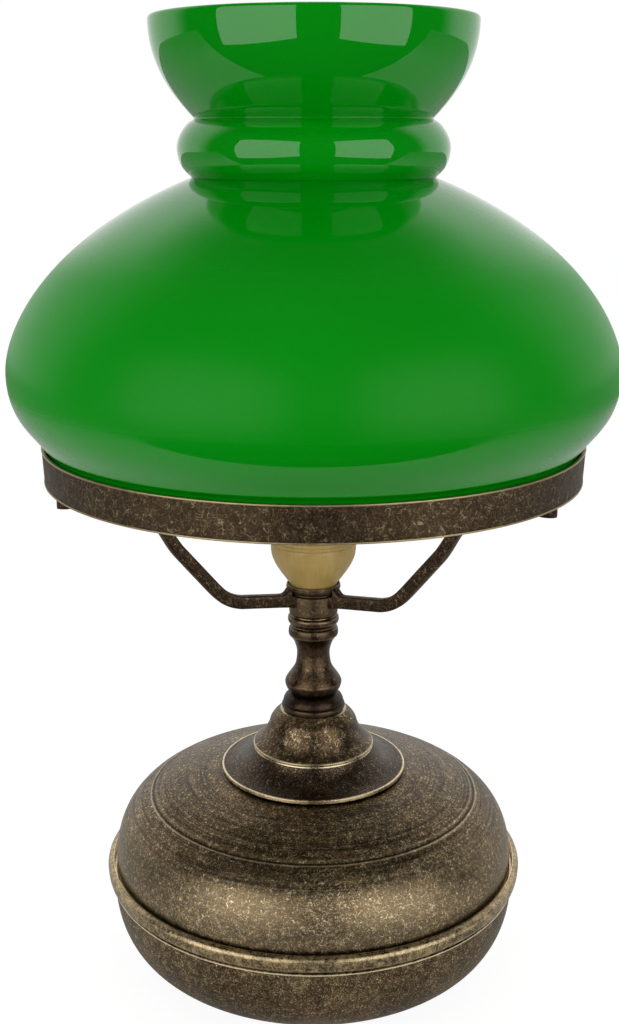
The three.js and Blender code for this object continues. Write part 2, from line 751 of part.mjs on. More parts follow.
// One lead: out of the terminal block, up to the tube, straight through it and into the holder's insert.
function leadPath(side) {
  const at = (x, spread, z) => new THREE.Vector3(x, side * spread, z);
  const entryX = terminal.offset - terminal.width / 2;
  const entryZ = deckZ + terminal.wire;
  const below = tubeBottomZ - 4;
  const above = tubeTopZ + 1;
  const inBlock = at(entryX + 5, lead.blockSpread, entryZ);
  const atBlock = at(entryX - 2, lead.blockSpread, entryZ);
  const underTube = at(0, lead.tubeSpread, below);
  const overTube = at(0, lead.tubeSpread, above);
  const underInsert = at(0, lead.holderSpread, bodyZ - 1);
  const path = new THREE.CurvePath();
  path.add(new THREE.LineCurve3(inBlock, atBlock));
  path.add(
    new THREE.CubicBezierCurve3(
      atBlock,
      at(0, lead.blockSpread, entryZ),
      at(0, lead.tubeSpread, below - 40),
      underTube,
    ),
  );
  path.add(new THREE.LineCurve3(underTube, overTube));
  path.add(
    new THREE.CubicBezierCurve3(
      overTube,
      at(0, lead.tubeSpread, above + 4),
      at(0, lead.holderSpread, bodyZ - 6),
      underInsert,
    ),
  );
  path.add(new THREE.LineCurve3(underInsert, at(0, lead.holderSpread, bodyZ + 5)));
  return path;
}

function addLeads() {
  const circle = new THREE.EllipseCurve(0, 0, lead.radius, lead.radius).getPoints(6);
  const section = new THREE.Shape(circle.slice(0, -1));
  const colours = { lead_live: brownInsulation, lead_neutral: blueInsulation };
  Object.entries(colours).forEach(([name, insulation], i) => {
    const along = { steps: 24, extrudePath: leadPath(1 - 2 * i), bevelEnabled: false };
    add(name, new THREE.ExtrudeGeometry(section, along), insulation);
  });
}

addFoot();
addShells();
addWeight();
addBushing();
addTube();
addSkirt();
addBell();
addCollar();
addBaluster();
addHubAndArms();
addRing();
addGlass();
addHolderShells();
addHolderInside();
addBulb();
addTerminals();
addLeads();

export default lamp;
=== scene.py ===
"""Looks of the oil-lamp style table lamp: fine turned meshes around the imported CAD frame, aged brass, green
cased glass and an ivory lampholder. Lengths in the outlines are millimetres. Heights and most radii come from
the frame."""

import math

import bmesh
import bpy
from mathutils import Euler, Matrix, Vector


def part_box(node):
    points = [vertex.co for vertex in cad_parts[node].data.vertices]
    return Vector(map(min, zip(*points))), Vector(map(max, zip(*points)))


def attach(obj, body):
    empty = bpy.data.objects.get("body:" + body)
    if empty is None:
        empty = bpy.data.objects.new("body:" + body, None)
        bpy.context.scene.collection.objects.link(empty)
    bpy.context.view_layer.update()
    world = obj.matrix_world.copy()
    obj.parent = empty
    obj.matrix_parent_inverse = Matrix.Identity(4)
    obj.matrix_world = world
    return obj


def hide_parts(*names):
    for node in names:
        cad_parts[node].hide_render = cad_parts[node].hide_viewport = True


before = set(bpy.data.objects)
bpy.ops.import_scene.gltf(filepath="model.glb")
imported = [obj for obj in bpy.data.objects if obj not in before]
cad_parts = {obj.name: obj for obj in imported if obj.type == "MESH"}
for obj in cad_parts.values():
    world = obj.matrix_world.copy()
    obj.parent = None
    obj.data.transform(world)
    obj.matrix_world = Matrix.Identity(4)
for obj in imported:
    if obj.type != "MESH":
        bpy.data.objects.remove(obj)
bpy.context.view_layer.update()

MM = 0.001
MANY = 256  # facets round the large turned pieces
SOME = 128  # facets round the stem's pieces
FEW = 48  # facets round screws and other small pieces
SHARP = math.radians(38)  # edges that turn more than this stay sharp
BORE = 5.3  # hole for the threaded tube
FRAME_BODY = "lamp_frame"

# ---- Outlines: lists of (radius, height) in millimetres ----


def mix(a, b, share):
    return a + (b - a) * share


def between(p, q, share):
    return tuple(mix(a, b, share) for a, b in zip(p, q))


def bezier(a, b, c, d, steps=24):
    """Points of a cubic curve from a to d, with b and c as its handles."""
    points = []
    for i in range(steps + 1):
        t = i / steps
        ab, bc, cd = between(a, b, t), between(b, c, t), between(c, d, t)
        points.append(between(between(ab, bc, t), between(bc, cd, t), t))
    return points


def spline(points, steps=6):
    """A smooth curve through the points, with that many steps between two of them."""
    padded = [points[0], *points, points[-1]]
    curve = [points[0]]
    for p0, p1, p2, p3 in zip(padded, padded[1:], padded[2:], padded[3:]):
        handle_a = tuple(b + (c - a) / 6 for a, b, c in zip(p0, p1, p2))
        handle_b = tuple(c - (d - b) / 6 for b, c, d in zip(p1, p2, p3))
        curve += bezier(p1, handle_a, handle_b, p2, steps)[1:]
    return curve


def rounded(corners, steps=6):
    """The closed polygon with each corner that has a third value rounded off to that radius."""
    outline = []
    count = len(corners)
    for i, corner in enumerate(corners):
        here = Vector(corner[:2])
        if len(corner) < 3:
            outline.append(tuple(here))
            continue
        before = Vector(corners[i - 1][:2]) - here
        after = Vector(corners[(i + 1) % count][:2]) - here
        half = before.angle(after) / 2
        reach = min(corner[2] / math.tan(half), 0.48 * before.length, 0.48 * after.length)
        start, end = here + before.normalized() * reach, here + after.normalized() * reach
        outline += bezier(start, between(start, here, 0.55), between(end, here, 0.55), end, steps)
    return outline


def shifted(outline, distance):
    """The outline moved to its left, for the other face of a sheet."""
    moved = []
    for i, p in enumerate(outline):
        before, after = outline[max(i - 1, 0)], outline[min(i + 1, len(outline) - 1)]
        along = (Vector(after) - Vector(before)).normalized()
        moved.append((p[0] - along.y * distance, p[1] + along.x * distance))
    return moved


def tidy(outline):
    """The outline without points that fall on each other."""
    return [p for i, p in enumerate(outline) if (Vector(p) - Vector(outline[i - 1])).length > 1e-4]


def heights(node):
    """Lowest and highest Z of a CAD node, in millimetres."""
    low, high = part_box(node)
    return low.z / MM, high.z / MM


def radius_of(node):
    """Widest radius of a CAD node that stands on the lamp's axis, in millimetres."""
    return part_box(node)[1].x / MM


# ---- Meshes ----


def linked(name, data):
    """A new object that holds the data, in the scene."""
    thing = bpy.data.objects.new(name, data)
    bpy.context.scene.collection.objects.link(thing)
    return thing


def mesh_data(name, mesh):
    """A bmesh as mesh data, and the bmesh freed."""
    data = bpy.data.meshes.new(name)
    mesh.to_mesh(data)
    mesh.free()
    return data


def new_piece(name, mesh, material, body, nodes=()):
    """A smooth piece with its materials, which rides on a body and stands in for the CAD nodes."""
    piece = linked(name, mesh)
    for m in material if isinstance(material, (list, tuple)) else [material]:
        mesh.materials.append(m)
    mesh.polygons.foreach_set("use_smooth", [True] * len(mesh.polygons))
    mesh.set_sharp_from_angle(angle=SHARP)
    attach(piece, body)
    if nodes:
        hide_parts(*nodes)
    return piece


FULL_TURN = 1.1  # radians of turn that count as a sharp edge
MOST_STEPS = 399  # outline points that one sum takes in at most


def wear_along(outline, reach=0.45):
    """How far each point stands out, from -1 in a groove to 1 on a sharp edge. It is the outline's turn in
    radians, gathered over reach to both sides."""
    count = len(outline)
    points = [Vector(p) for p in outline]
    turn, spacing = [], []
    for i in range(count):
        a, b, c = points[i - 1], points[i], points[(i + 1) % count]
        turn.append(-(b - a).angle_signed(c - b, 0.0))
        spacing.append(((b - a).length + (c - b).length) / 2)
    worn = []
    for i in range(count):
        total, steps_left = turn[i], MOST_STEPS
        for direction in (-1, 1):
            distance, j = 0.0, i
            while distance < 2 * reach and steps_left:
                j = (j + direction) % count
                distance += spacing[j]
                total += turn[j] * math.exp(-((distance / reach) ** 2))
                steps_left -= 1
        worn.append(max(-1.0, min(1.0, total / FULL_TURN)))
    return worn


def turned(name, outline, material, body, nodes=(), facets=SOME, shape=None, lined_from=None):
    """Turns a closed anticlockwise outline about Z. shape(angle, radius, height) is added to a point's
    radius, and faces from the outline's point lined_from on take the second material."""
    outline = tidy(outline)
    worn = wear_along(outline)
    lengths = [0.0]
    for a, b in zip(outline, outline[1:]):
        lengths.append(lengths[-1] + (Vector(b) - Vector(a)).length)
    widest = max(p[0] for p in outline)
    mesh = bmesh.new()
    wear_layer = mesh.verts.layers.float.new("wear")
    uv = mesh.loops.layers.uv.new("turned")
    rings = []
    for k in range(facets):
        angle = math.pi / 2 + math.tau * k / facets
        ring = []
        for (r, z), w in zip(outline, worn):
            radius = r + shape(angle, r, z) if shape else r
            vertex = mesh.verts.new((radius * math.cos(angle) * MM, radius * math.sin(angle) * MM, z * MM))
            vertex[wear_layer] = w
            ring.append(vertex)
        rings.append(ring)
    count = len(outline)
    for k in range(facets):
        left, right = rings[k], rings[(k + 1) % facets]
        for i in range(count):
            j = (i + 1) % count
            if outline[i][0] < 1e-6 and outline[j][0] < 1e-6:
                continue
            face = mesh.faces.new((left[i], right[i], right[j], left[j]))
            ends = lengths[i], lengths[j] if j else lengths[i]
            for loop, (step, length) in zip(face.loops, ((0, 0), (1, 0), (1, 1), (0, 1))):
                loop[uv].uv = ((k + step) / facets * math.tau * widest * MM, ends[length] * MM)
            if lined_from and i >= lined_from:
                face.material_index = 1
    bmesh.ops.remove_doubles(mesh, verts=mesh.verts, dist=1e-7)
    return new_piece(name, mesh_data(name, mesh), material, body, nodes)


def cut_away(piece, mesh):
    """Takes the bmesh's solid out of the piece."""
    cutter = linked("cutter", mesh_data("cutter", mesh))
    boolean = piece.modifiers.new("cut", "BOOLEAN")
    boolean.operation = "DIFFERENCE"
    boolean.solver = "EXACT"
    boolean.object = cutter
    bpy.context.view_layer.update()
    result = bpy.data.meshes.new_from_object(piece.evaluated_get(bpy.context.evaluated_depsgraph_get()))
    piece.modifiers.remove(boolean)
    piece.data = result
    bpy.data.objects.remove(cutter)


# ---- Materials ----


def linear(red, green, blue):
    """An sRGB colour from 0 to 255 as linear RGBA."""
    channels = (((c / 255 + 0.055) / 1.055) ** 2.4 if c > 10 else c / 255 / 12.92 for c in (red, green, blue))
    return (*channels, 1.0)


def times(colour, factor):
    """The colour made darker or lighter."""
    return (*(c * factor for c in colour[:3]), 1.0)


def add_node(tree, kind, inputs=None, **settings):
    """A shader node. Each input is a value or another node's output socket."""
    node = tree.nodes.new("ShaderNode" + kind)
    for key, value in settings.items():
        setattr(node, key, value)
    for key, value in (inputs or {}).items():
        if isinstance(value, bpy.types.NodeSocket):
            tree.links.new(value, node.inputs[key])
        else:
            node.inputs[key].default_value = value
    return node


class Finish:
    """A material and short calls for its nodes. Each call returns an output socket."""

    def __init__(self, name, **shader):
        self.material = bpy.data.materials.new(name)
        self.material.use_nodes = True
        self.tree = self.material.node_tree
        self.shader = self.tree.nodes["Principled BSDF"]
        for socket, value in shader.items():
            self.set(socket.replace("_", " "), value)
        self.place = self.make("TexCoord").outputs["Object"]

    def make(self, kind, inputs=None, **settings):
        return add_node(self.tree, kind, inputs, **settings)

    def set(self, socket, value):
        if isinstance(value, bpy.types.NodeSocket):
            self.tree.links.new(value, self.shader.inputs[socket])
        else:
            self.shader.inputs[socket].default_value = value

    def soften(self, weight, radius, scale):
        """Light that enters the surface: its share, how far each colour goes, and the scale in metres."""
        self.set("Subsurface Weight", weight)
        self.set("Subsurface Radius", radius)
        self.set("Subsurface Scale", scale)

    def noise(self, scale, detail=3.0, roughness=0.55, vector=None, distortion=0.0):
        """Noise with that many lumps a metre."""
        values = {"Vector": vector or self.place, "Scale": scale, "Detail": detail}
        values |= {"Roughness": roughness, "Distortion": distortion}
        return self.make("TexNoise", values).outputs["Fac"]

    def stretched(self, scale, turn):
        """The place on the object, turned and then scaled."""
        values = {"Vector": self.place, "Rotation": Euler(turn), "Scale": scale}
        return self.make("Mapping", values).outputs["Vector"]

    def step(self, value, low, high, start=0.0, end=1.0):
        """value mapped smoothly from low..high to start..end."""
        values = {"Value": value, "From Min": low, "From Max": high, "To Min": start, "To Max": end}
        return self.make("MapRange", values, interpolation_type="SMOOTHSTEP").outputs["Result"]

    def math(self, operation, a, b=0.0, clamp=True):
        """The operation on two values. Sums and differences are clamped to 0..1 unless told otherwise."""
        clamp = clamp and operation in ("ADD", "SUBTRACT")
        return self.make("Math", {0: a, 1: b}, operation=operation, use_clamp=clamp).outputs["Value"]

    def blend(self, share, a, b):
        """A colour between two, by a share from 0 to 1."""
        return self.make("Mix", {0: share, 6: a, 7: b}, data_type="RGBA").outputs[2]

    def attribute(self, name):
        return self.make("Attribute", attribute_name=name).outputs["Fac"]

    def turned_lines(self, across, along):
        """Noise drawn out round a turned piece: across and along are lumps a metre."""
        uv = self.make("UVMap", uv_map="turned").outputs["UV"]
        vector = self.make("Mapping", {"Vector": uv, "Scale": (along, across, 1.0)}).outputs["Vector"]
        return self.make("TexNoise", {"Vector": vector, "Scale": 1.0, "Detail": 3.0}).outputs["Fac"]

    def bump(self, height, distance, strength=1.0, normal=None):
        values = {"Height": height, "Distance": distance, "Strength": strength}
        if normal:
            values["Normal"] = normal
        return self.make("Bump", values).outputs["Normal"]


def scratches(finish, fineness, low, high, layers=5):
    """Short fine strokes that run every way, as a tumbled and rubbed finish leaves."""
    strongest = None
    for i in range(layers):
        turn = (0.7 + 1.9 * i, 1.3 * i, 2.4 * i + 0.4)
        stroke = finish.stretched((fineness, fineness, fineness * 0.16), turn)
        value = finish.noise(1.0, 1.5, 0.5, stroke)
        strongest = finish.math("MAXIMUM", strongest, value) if strongest else value
    return finish.step(strongest, low, high)


def curls(finish, size, width=0.05, share=0.5, seed=0.0):
    """Short curly strokes, about size lumps a metre apart: the lines along which a noise crosses its middle,
    broken up by a second noise."""
    moved = {"Vector": finish.place, "Location": (seed, -seed, 2 * seed)}
    place = finish.make("Mapping", moved).outputs["Vector"]
    value = finish.noise(size, 1.0, 0.5, place, distortion=0.6)
    away = finish.math("ABSOLUTE", finish.math("SUBTRACT", value, 0.5, clamp=False))
    line = finish.step(away, 0.3 * width, width, 1.0, 0.0)
    gate = finish.noise(size * 1.3, 2.0, 0.6, finish.stretched((1, 1, 1), (0.6, 1.1, seed)))
    return finish.math("MULTIPLY", line, finish.step(gate, 0.62 - 0.25 * share, 0.68 - 0.25 * share))


def spin_marks_and_highlight(f, colour, height, dark, bright):
    """Lines of the spinning lathe, fainter below the shoulder, and a painted highlight there: below the
    shoulder the colour is a little brighter.
    """
    shoulder = 72 * MM, 84 * MM
    lines = f.step(f.turned_lines(900.0, 10.0), 0.47, 0.57)
    broad = f.step(f.turned_lines(170.0, 5.0), 0.33, 0.55)
    crown = f.make("SeparateXYZ", {"Vector": f.place}).outputs["Z"]
    drawn = f.math("MULTIPLY", f.math("MULTIPLY", lines, broad), f.step(crown, *shoulder, 0.25, 1.0))
    # Painted highlight: the colour turns a little brighter low on the dome, below the shoulder.
    colour = f.blend(f.step(crown, 72 * MM, 88 * MM, 0.08, 0.0), colour, bright)
    colour = f.blend(f.math("MULTIPLY", drawn, 0.6), colour, times(dark, 0.6))
    return colour, f.math("SUBTRACT", height, f.math("MULTIPLY", drawn, 0.5))


def aged_brass(
    name, dark, mid, bright, wear=1.0, spun=False, rough=0.42, stroke=420.0, marked=0.8, shade_reach=7 * MM
):
    """Antiqued brass: a dark patina, rubbed through in short curly strokes and bright on the edges, and
    darkened by painted shade in its crevices. stroke is the strokes' number a metre, marked their strength,
    and the last argument how wide the painted shade in a crevice is."""
    f = Finish(name, Metallic=1.0)
    clouds = f.noise(38.0, 4.0, 0.6)
    mottle = f.noise(300.0, 4.0, 0.7)
    fine = f.noise(1300.0, 2.0, 0.6)
    strokes = f.math("MAXIMUM", curls(f, stroke, 0.016, 0.7, 0.3), curls(f, stroke * 1.5, 0.022, 0.5, 1.7))
    hairs = curls(f, stroke * 2.4, 0.034, 0.5, 2.9)
    rubbed = f.step(clouds, 0.35, 0.75)
    tone = f.math("MULTIPLY", f.step(mottle, 0.42, 0.66), 0.4)
    tone = f.math("ADD", tone, f.math("MULTIPLY", rubbed, 0.3))
    tone = f.math("ADD", tone, f.math("MULTIPLY", f.step(fine, 0.45, 0.62), 0.3))
    edge = f.attribute("wear")
    crevice = f.step(edge, -0.5, -0.03, 1.0, 0.0)
    worn_edge = f.math("MULTIPLY", f.step(edge, 0.12, 0.75), wear)
    # Painted shade: the AO node darkens the colour where other parts close in around a point.
    open_air = f.make("AmbientOcclusion", {"Distance": shade_reach}, samples=6).outputs["AO"]
    shade = f.step(open_air, 0.35, 0.9, 0.0, 1.0)
    colour = f.blend(tone, dark, mid)
    marks = f.math("MULTIPLY", f.math("ADD", strokes, f.math("MULTIPLY", hairs, 0.55)), marked)
    colour = f.blend(f.math("MULTIPLY", marks, f.step(tone, 0.0, 0.7, 0.35, 1.0)), colour, bright)
    height = f.math("ADD", f.math("MULTIPLY", marks, 0.5), f.math("MULTIPLY", mottle, 0.35))
    # Spun lines, and a painted highlight low on the dome.
    if spun:
        colour, height = spin_marks_and_highlight(f, colour, height, dark, bright)
    # Painted shade from the AO node, taken together with darkening in the outline's own grooves.
    painted_shade_and_grooves = f.math("MAXIMUM", f.math("SUBTRACT", 1.0, shade), crevice)
    colour = f.blend(f.math("MULTIPLY", painted_shade_and_grooves, 0.85), colour, times(dark, 0.45))
    edge_share = f.math("MULTIPLY", worn_edge, f.step(mottle, 0.25, 0.55, 0.55, 1.0))
    f.set("Base Color", f.blend(edge_share, colour, bright))
    roughness = f.step(mottle, 0.3, 0.75, rough - 0.08, rough + 0.12)
    f.set("Roughness", f.math("SUBTRACT", roughness, f.math("MULTIPLY", edge_share, 0.12)))
    f.set("Normal", f.bump(height, 0.05 * MM, 0.7, f.bump(clouds, 0.5 * MM, 0.25)))
    return f.material


def green_glass():
    """Green glass over white opal: opaque, deep and glossy, with the slow waves of blown glass. The gloss is
    softer where the mesh has haze."""
    f = Finish("green_cased_glass", IOR=1.5)
    waves = f.noise(16.0, 1.0, 0.4)
    depth = f.noise(7.0, 1.0, 0.5)
    haze = f.attribute("haze")
    f.set("Base Color", f.blend(f.step(depth, 0.3, 0.7), linear(0, 137, 10), linear(0, 144, 16)))
    f.set("Roughness", f.step(haze, 0.0, 1.0, 0.03, 0.36))
    f.set("Specular IOR Level", f.step(haze, 0.0, 1.0, 0.5, 0.13))
    f.set("Normal", f.bump(waves, 1.0 * MM, 0.08))
    f.soften(0.08, (0.2, 1.0, 0.3), 2 * MM)
    return f.material


def opal_glass(name, tint, rough):
    """White opal glass with a slow change of tint and slow waves."""
    f = Finish(name, IOR=1.5, Roughness=rough)
    f.set("Base Color", f.blend(f.step(f.noise(30.0, 2.0), 0.3, 0.7), tint, linear(250, 249, 244)))
    f.set("Normal", f.bump(f.noise(18.0, 1.0), 1.0 * MM, 0.08))
    f.soften(0.2, (1.0, 0.95, 0.8), 4 * MM)
    return f.material


def ivory_moulding():
    """Yellowed moulded plastic with the fine upright lines of a turned mould."""
    f = Finish("ivory_moulding", IOR=1.5)
    lines = f.turned_lines(60.0, 1100.0)
    cloud = f.noise(60.0, 3.0)
    colour = f.blend(f.step(cloud, 0.3, 0.7), linear(184, 154, 88), linear(194, 166, 100))
    f.set("Base Color", f.blend(f.step(lines, 0.4, 0.75, 0.0, 0.35), colour, linear(158, 128, 70)))
    f.set("Roughness", f.step(f.noise(500.0), 0.3, 0.7, 0.36, 0.46))
    f.set("Normal", f.bump(lines, 0.04 * MM, 0.5))
    f.soften(0.15, (1.0, 0.7, 0.3), 2 * MM)
    return f.material


def plain_metal(name, colour, rough, grain=900.0):
    """A machined or plated metal with a fine grain, a few scratches and slight stains."""
    f = Finish(name, Metallic=1.0)
    stain = f.noise(90.0, 4.0, 0.6)
    fine = f.noise(grain, 3.0, 0.6)
    marks = scratches(f, 2200.0, 0.7, 0.85, layers=3)
    f.set("Base Color", f.blend(f.step(stain, 0.35, 0.75), colour, times(colour, 0.6)))
    f.set("Roughness", f.step(f.math("MAXIMUM", fine, marks), 0.3, 0.9, rough - 0.06, rough + 0.15))
    f.set("Normal", f.bump(f.math("ADD", fine, marks), 0.03 * MM, 0.5))
    return f.material


def rough_casting():
    """Sand-cast iron, dark and matt, with a trace of rust."""
    f = Finish("rough_casting", Metallic=0.7)
    grain = f.noise(700.0, 5.0, 0.7)
    f.set("Base Color", f.blend(f.step(f.noise(60.0, 4.0), 0.3, 0.7), linear(38, 38, 40), linear(62, 54, 48)))
    f.set("Roughness", f.step(grain, 0.3, 0.7, 0.7, 0.95))
    f.set("Normal", f.bump(grain, 0.4 * MM, 0.8))
    return f.material


def felt():
    """Pressed wool: a matted pile of short fibres."""
    f = Finish("felt", Roughness=0.95, Sheen_Weight=0.5, Sheen_Roughness=0.6)
    fibres = scratches(f, 2600.0, 0.55, 0.8, layers=4)
    f.set("Base Color", f.blend(fibres, linear(24, 48, 33), linear(52, 84, 62)))
    f.set("Normal", f.bump(fibres, 0.15 * MM, 0.9))
    return f.material


def moulded(name, colour, rough):
    """A plain moulding with a fine spark-eroded grain and a slight wear in its gloss."""
    f = Finish(name, IOR=1.48)
    lighter = tuple(min(1.0, c * 1.35 + 0.004) for c in colour[:3]) + (1.0,)
    f.set("Base Color", f.blend(f.step(f.noise(120.0, 4.0), 0.35, 0.75), colour, lighter))
    f.set("Roughness", f.step(f.noise(400.0, 3.0), 0.3, 0.7, rough - 0.08, rough + 0.08))
    f.set("Normal", f.bump(f.noise(2400.0, 2.0), 0.03 * MM, 0.6))
    return f.material


DEEP = linear(42, 33, 27)
DARK = linear(56, 45, 33)
MID = linear(130, 107, 75)
# The bead's mid tone is a brighter brass than the shells': a painted highlight along its roll, over rubbed
# brass.
BEAD_LIT_MID = linear(216, 188, 138)
BELL_MID = linear(112, 92, 66)
SKIRT_MID = linear(72, 58, 46)
BRIGHT = linear(255, 234, 190)
STEM_BRIGHT = linear(200, 172, 130)
DULL_BRIGHT = linear(170, 148, 112)
CAST_BRIGHT = linear(156, 134, 100)
WIDE = 15 * MM  # reach of the painted shade over and under the bead
base_brass = aged_brass("brass_base", DARK, MID, BRIGHT, 1, True, 0.38, stroke=430, marked=1, shade_reach=WIDE)
bowl_brass = aged_brass("brass_bowl", DARK, linear(136, 113, 80), BRIGHT, rough=0.46, stroke=430, shade_reach=WIDE)
bead_brass = aged_brass("brass_bead", DARK, BEAD_LIT_MID, BRIGHT, rough=0.3, stroke=700, shade_reach=5 * MM)
ring_brass = aged_brass("brass_ring", DARK, linear(98, 82, 62), linear(172, 154, 118), rough=0.5, stroke=230)
cast_brass = aged_brass("brass_cast", DEEP, linear(74, 59, 44), CAST_BRIGHT, 0.3, rough=0.46, stroke=300)
stem_brass = aged_brass("brass_stem", DEEP, linear(100, 80, 60), STEM_BRIGHT, 0.6, rough=0.34, marked=0.3)
bell_brass = aged_brass("brass_bell", DARK, BELL_MID, BRIGHT, 0.55, rough=0.36, stroke=230, marked=0.5)
skirt_brass = aged_brass("brass_skirt", DEEP, SKIRT_MID, BRIGHT, 0.8, rough=0.36, stroke=600, marked=0.4)
dull_brass = aged_brass("brass_dull", DEEP, linear(70, 57, 44), DULL_BRIGHT, 0.25, rough=0.4, marked=0.2)
glass_green = green_glass()
glass_white = opal_glass("opal_lining", linear(238, 240, 230), 0.12)
glass_bulb = opal_glass("opal_bulb", linear(240, 240, 238), 0.25)
ivory = ivory_moulding()
ceramic = moulded("glazed_ceramic", linear(226, 222, 212), 0.22)
black_rubber = moulded("black_bushing", linear(24, 24, 25), 0.5)
steel = plain_metal("zinc_plate", linear(176, 178, 180), 0.34)
cap_metal = plain_metal("bulb_cap_metal", linear(196, 196, 194), 0.24)
bare_brass = plain_metal("bare_brass", linear(206, 172, 96), 0.3)
casting = rough_casting()
felt_cloth = felt()
live_insulation = moulded("brown_insulation", linear(92, 56, 34), 0.45)
neutral_insulation = moulded("blue_insulation", linear(44, 92, 168), 0.45)

# ---- Base ----

SHEET = 1.0  # the two shells' wall
GAP = 0.3  # between pieces that touch
BUSHING_STEM = 5.8


def add_foot():
    low, high = heights("felt_pad")
    outer = radius_of("felt_pad")
    hole, vent = 20, 5.3
    pad = rounded([(hole, low, 0.3), (outer, low, 0.4), (outer, high, 0.3), (hole, high, 0.2)])
    turned("felt_pad", pad, felt_cloth, FRAME_BODY, ["felt_pad"], MANY)
    low, high = heights("bottom_plate")
    outer = radius_of("bottom_plate")
    disc = rounded([(vent, low, 0.3), (outer, low, 0.4), (outer, high, 0.4), (vent, high, 0.3)])
    turned("bottom_plate", disc, steel, FRAME_BODY, ["bottom_plate"], MANY)


def bowl_side():
    """The bowl's face from its flat foot up to the bead."""
    low = heights("base_lower_shell")[0]
    bead_low = heights("base_bead_ring")[0]
    widest = radius_of("base_lower_shell")
    flat = 52
    handles = (mix(flat, widest, 0.55), low), (widest, mix(low, bead_low, 0.22))
    return bezier((flat, low), *handles, (widest, bead_low), 40)


def add_bowl():
    node = "base_lower_shell"
    low, high = heights(node)
    opening = 40
    outer = [(opening, low), *bowl_side(), (radius_of(node), high)]
    outline = [*outer, *reversed(shifted(outer, SHEET))]
    shell = turned(node, outline, bowl_brass, FRAME_BODY, [node], MANY)
    cut_away(shell, outlet_hole())


def bushing_frame():
    """Turns points along +Z onto the cable bushing's axis at the back, square to the bowl's face there."""
    low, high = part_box("cable_bushing")
    middle = (low + high) / 2
    face = bowl_side()
    below, above = next((p, q) for p, q in zip(face, face[1:]) if q[1] * MM > middle.z)
    lean = math.atan2(above[0] - below[0], above[1] - below[1])
    return Matrix.Translation(middle) @ Matrix.Rotation(-math.pi / 2 - lean, 4, "X")


def outlet_hole():
    """The round hole in the bowl that the bushing's stem passes through."""
    radius, depth = (BUSHING_STEM + GAP) * MM, 30 * MM
    mesh = bmesh.new()
    sizes = {"segments": FEW, "radius1": radius, "radius2": radius, "depth": depth}
    bmesh.ops.create_cone(mesh, cap_ends=True, matrix=bushing_frame(), **sizes)
    return mesh


def add_dome():
    """The upper shell, with spun lines cut into it."""
    node = "base_upper_shell"
    low, high = heights(node)
    bead_high = heights("base_bead_ring")[1]
    crown_low = heights("stem_skirt")[0] - GAP
    shoulder, crown, flat = radius_of(node), 40, 15
    handles = (
        (shoulder, mix(bead_high, crown_low, 0.8)),
        (mix(crown, shoulder, 0.43), mix(bead_high, crown_low, 0.87)),
    )
    side = bezier((shoulder, bead_high), *handles, (crown, crown_low), 160)
    grooves = {76.0: 0.6, 73.2: 0.2, 79.4: 0.25, 67.5: 0.15, 84.0: 0.15}  # radius and depth of the spun lines
    width = 0.7

    def scored(point):
        r, z = point
        return (r, z - sum(depth * math.exp(-(((r - at) / width) ** 2)) for at, depth in grooves.items()))

    outer = [(shoulder, low), *map(scored, side), (flat, high), (BORE, high)]
    inner = shifted([(shoulder, low), *side, (flat, high), (BORE, high)], SHEET)
    outline = [*outer, *reversed(inner)]
    turned(node, outline, base_brass, FRAME_BODY, [node], MANY)


def add_bead():
    """The rolled bead over the seam, with a thin lip under it."""
    low, high = heights("base_bead_ring")
    widest = radius_of("base_bead_ring")
    inner = radius_of("base_lower_shell") + GAP
    round_off = 2.6
    crest = high - round_off
    lip = widest - 1.7
    outline = [
        (inner, low),
        (lip - 0.5, low),
        (lip, low + 0.4),
        (lip, low + 0.9),
        (lip - 0.45, low + 1.35),
        *spline([(lip - 0.3, low + 1.7), (mix(lip, widest, 0.75), mix(low, crest, 0.5)), (widest, crest)]),
        *bezier((widest, crest), (widest, crest + 1.4), (widest - 1.2, high), (inner, high), 14),
    ]
    turned("base_bead_ring", outline, bead_brass, FRAME_BODY, ["base_bead_ring"], MANY)


# ---- Stem ----


def add_skirt():
    """A spun dish with a rolled rim, hollow underneath."""
    low, high = heights("stem_skirt")
    widest = radius_of("stem_skirt")
    seat, thick, lip = 28.0, 1.1, 1.7
    face = bezier(
        (widest - 0.5, low + lip),
        (mix(seat, widest, 0.5), low + lip + 0.6),
        (mix(seat, widest, 0.2), mix(low, high, 0.45)),
        (seat, high),
        28,
    )
    rim = widest - thick
    under = bezier(
        (seat - thick, high - thick),
        (mix(seat, rim, 0.1), mix(low, high, 0.3)),
        (mix(seat, rim, 0.5), low + lip / 2),
        (rim, low),
        16,
    )
    edge = [(widest, low, 0.25), (widest, low + lip, 0.5)]
    corners = [*edge, *face, (BORE, high), (BORE, high - thick), *under]
    turned("stem_skirt", rounded(corners), skirt_brass, FRAME_BODY, ["stem_skirt"], MANY)


def add_bell():
    low, high = heights("stem_bell")
    rim, waist, top, wall = radius_of("stem_bell"), 20.7, 15.4, 1.6
    waist_z = low + 10.4
    handles = (rim - 3.6, low + 2.9), (waist + 2, mix(low, waist_z, 0.55))
    flare = bezier((rim - 0.3, low + 1.1), *handles, (waist, waist_z))
    dome = bezier((waist, waist_z), (waist - 0.5, waist_z + 3), (top + 3, high - 2.2), (top, high))
    narrow = waist - wall
    corners = [
        (rim, low, 0.3),
        (rim, low + 0.9, 0.4),
        *flare,
        *dome[1:],
        (BORE, high),
        (BORE, high - wall),
        (top - 1, high - wall),
        (narrow, waist_z),
        (narrow, low),
    ]
    turned("stem_bell", rounded(corners), bell_brass, FRAME_BODY, ["stem_bell"])


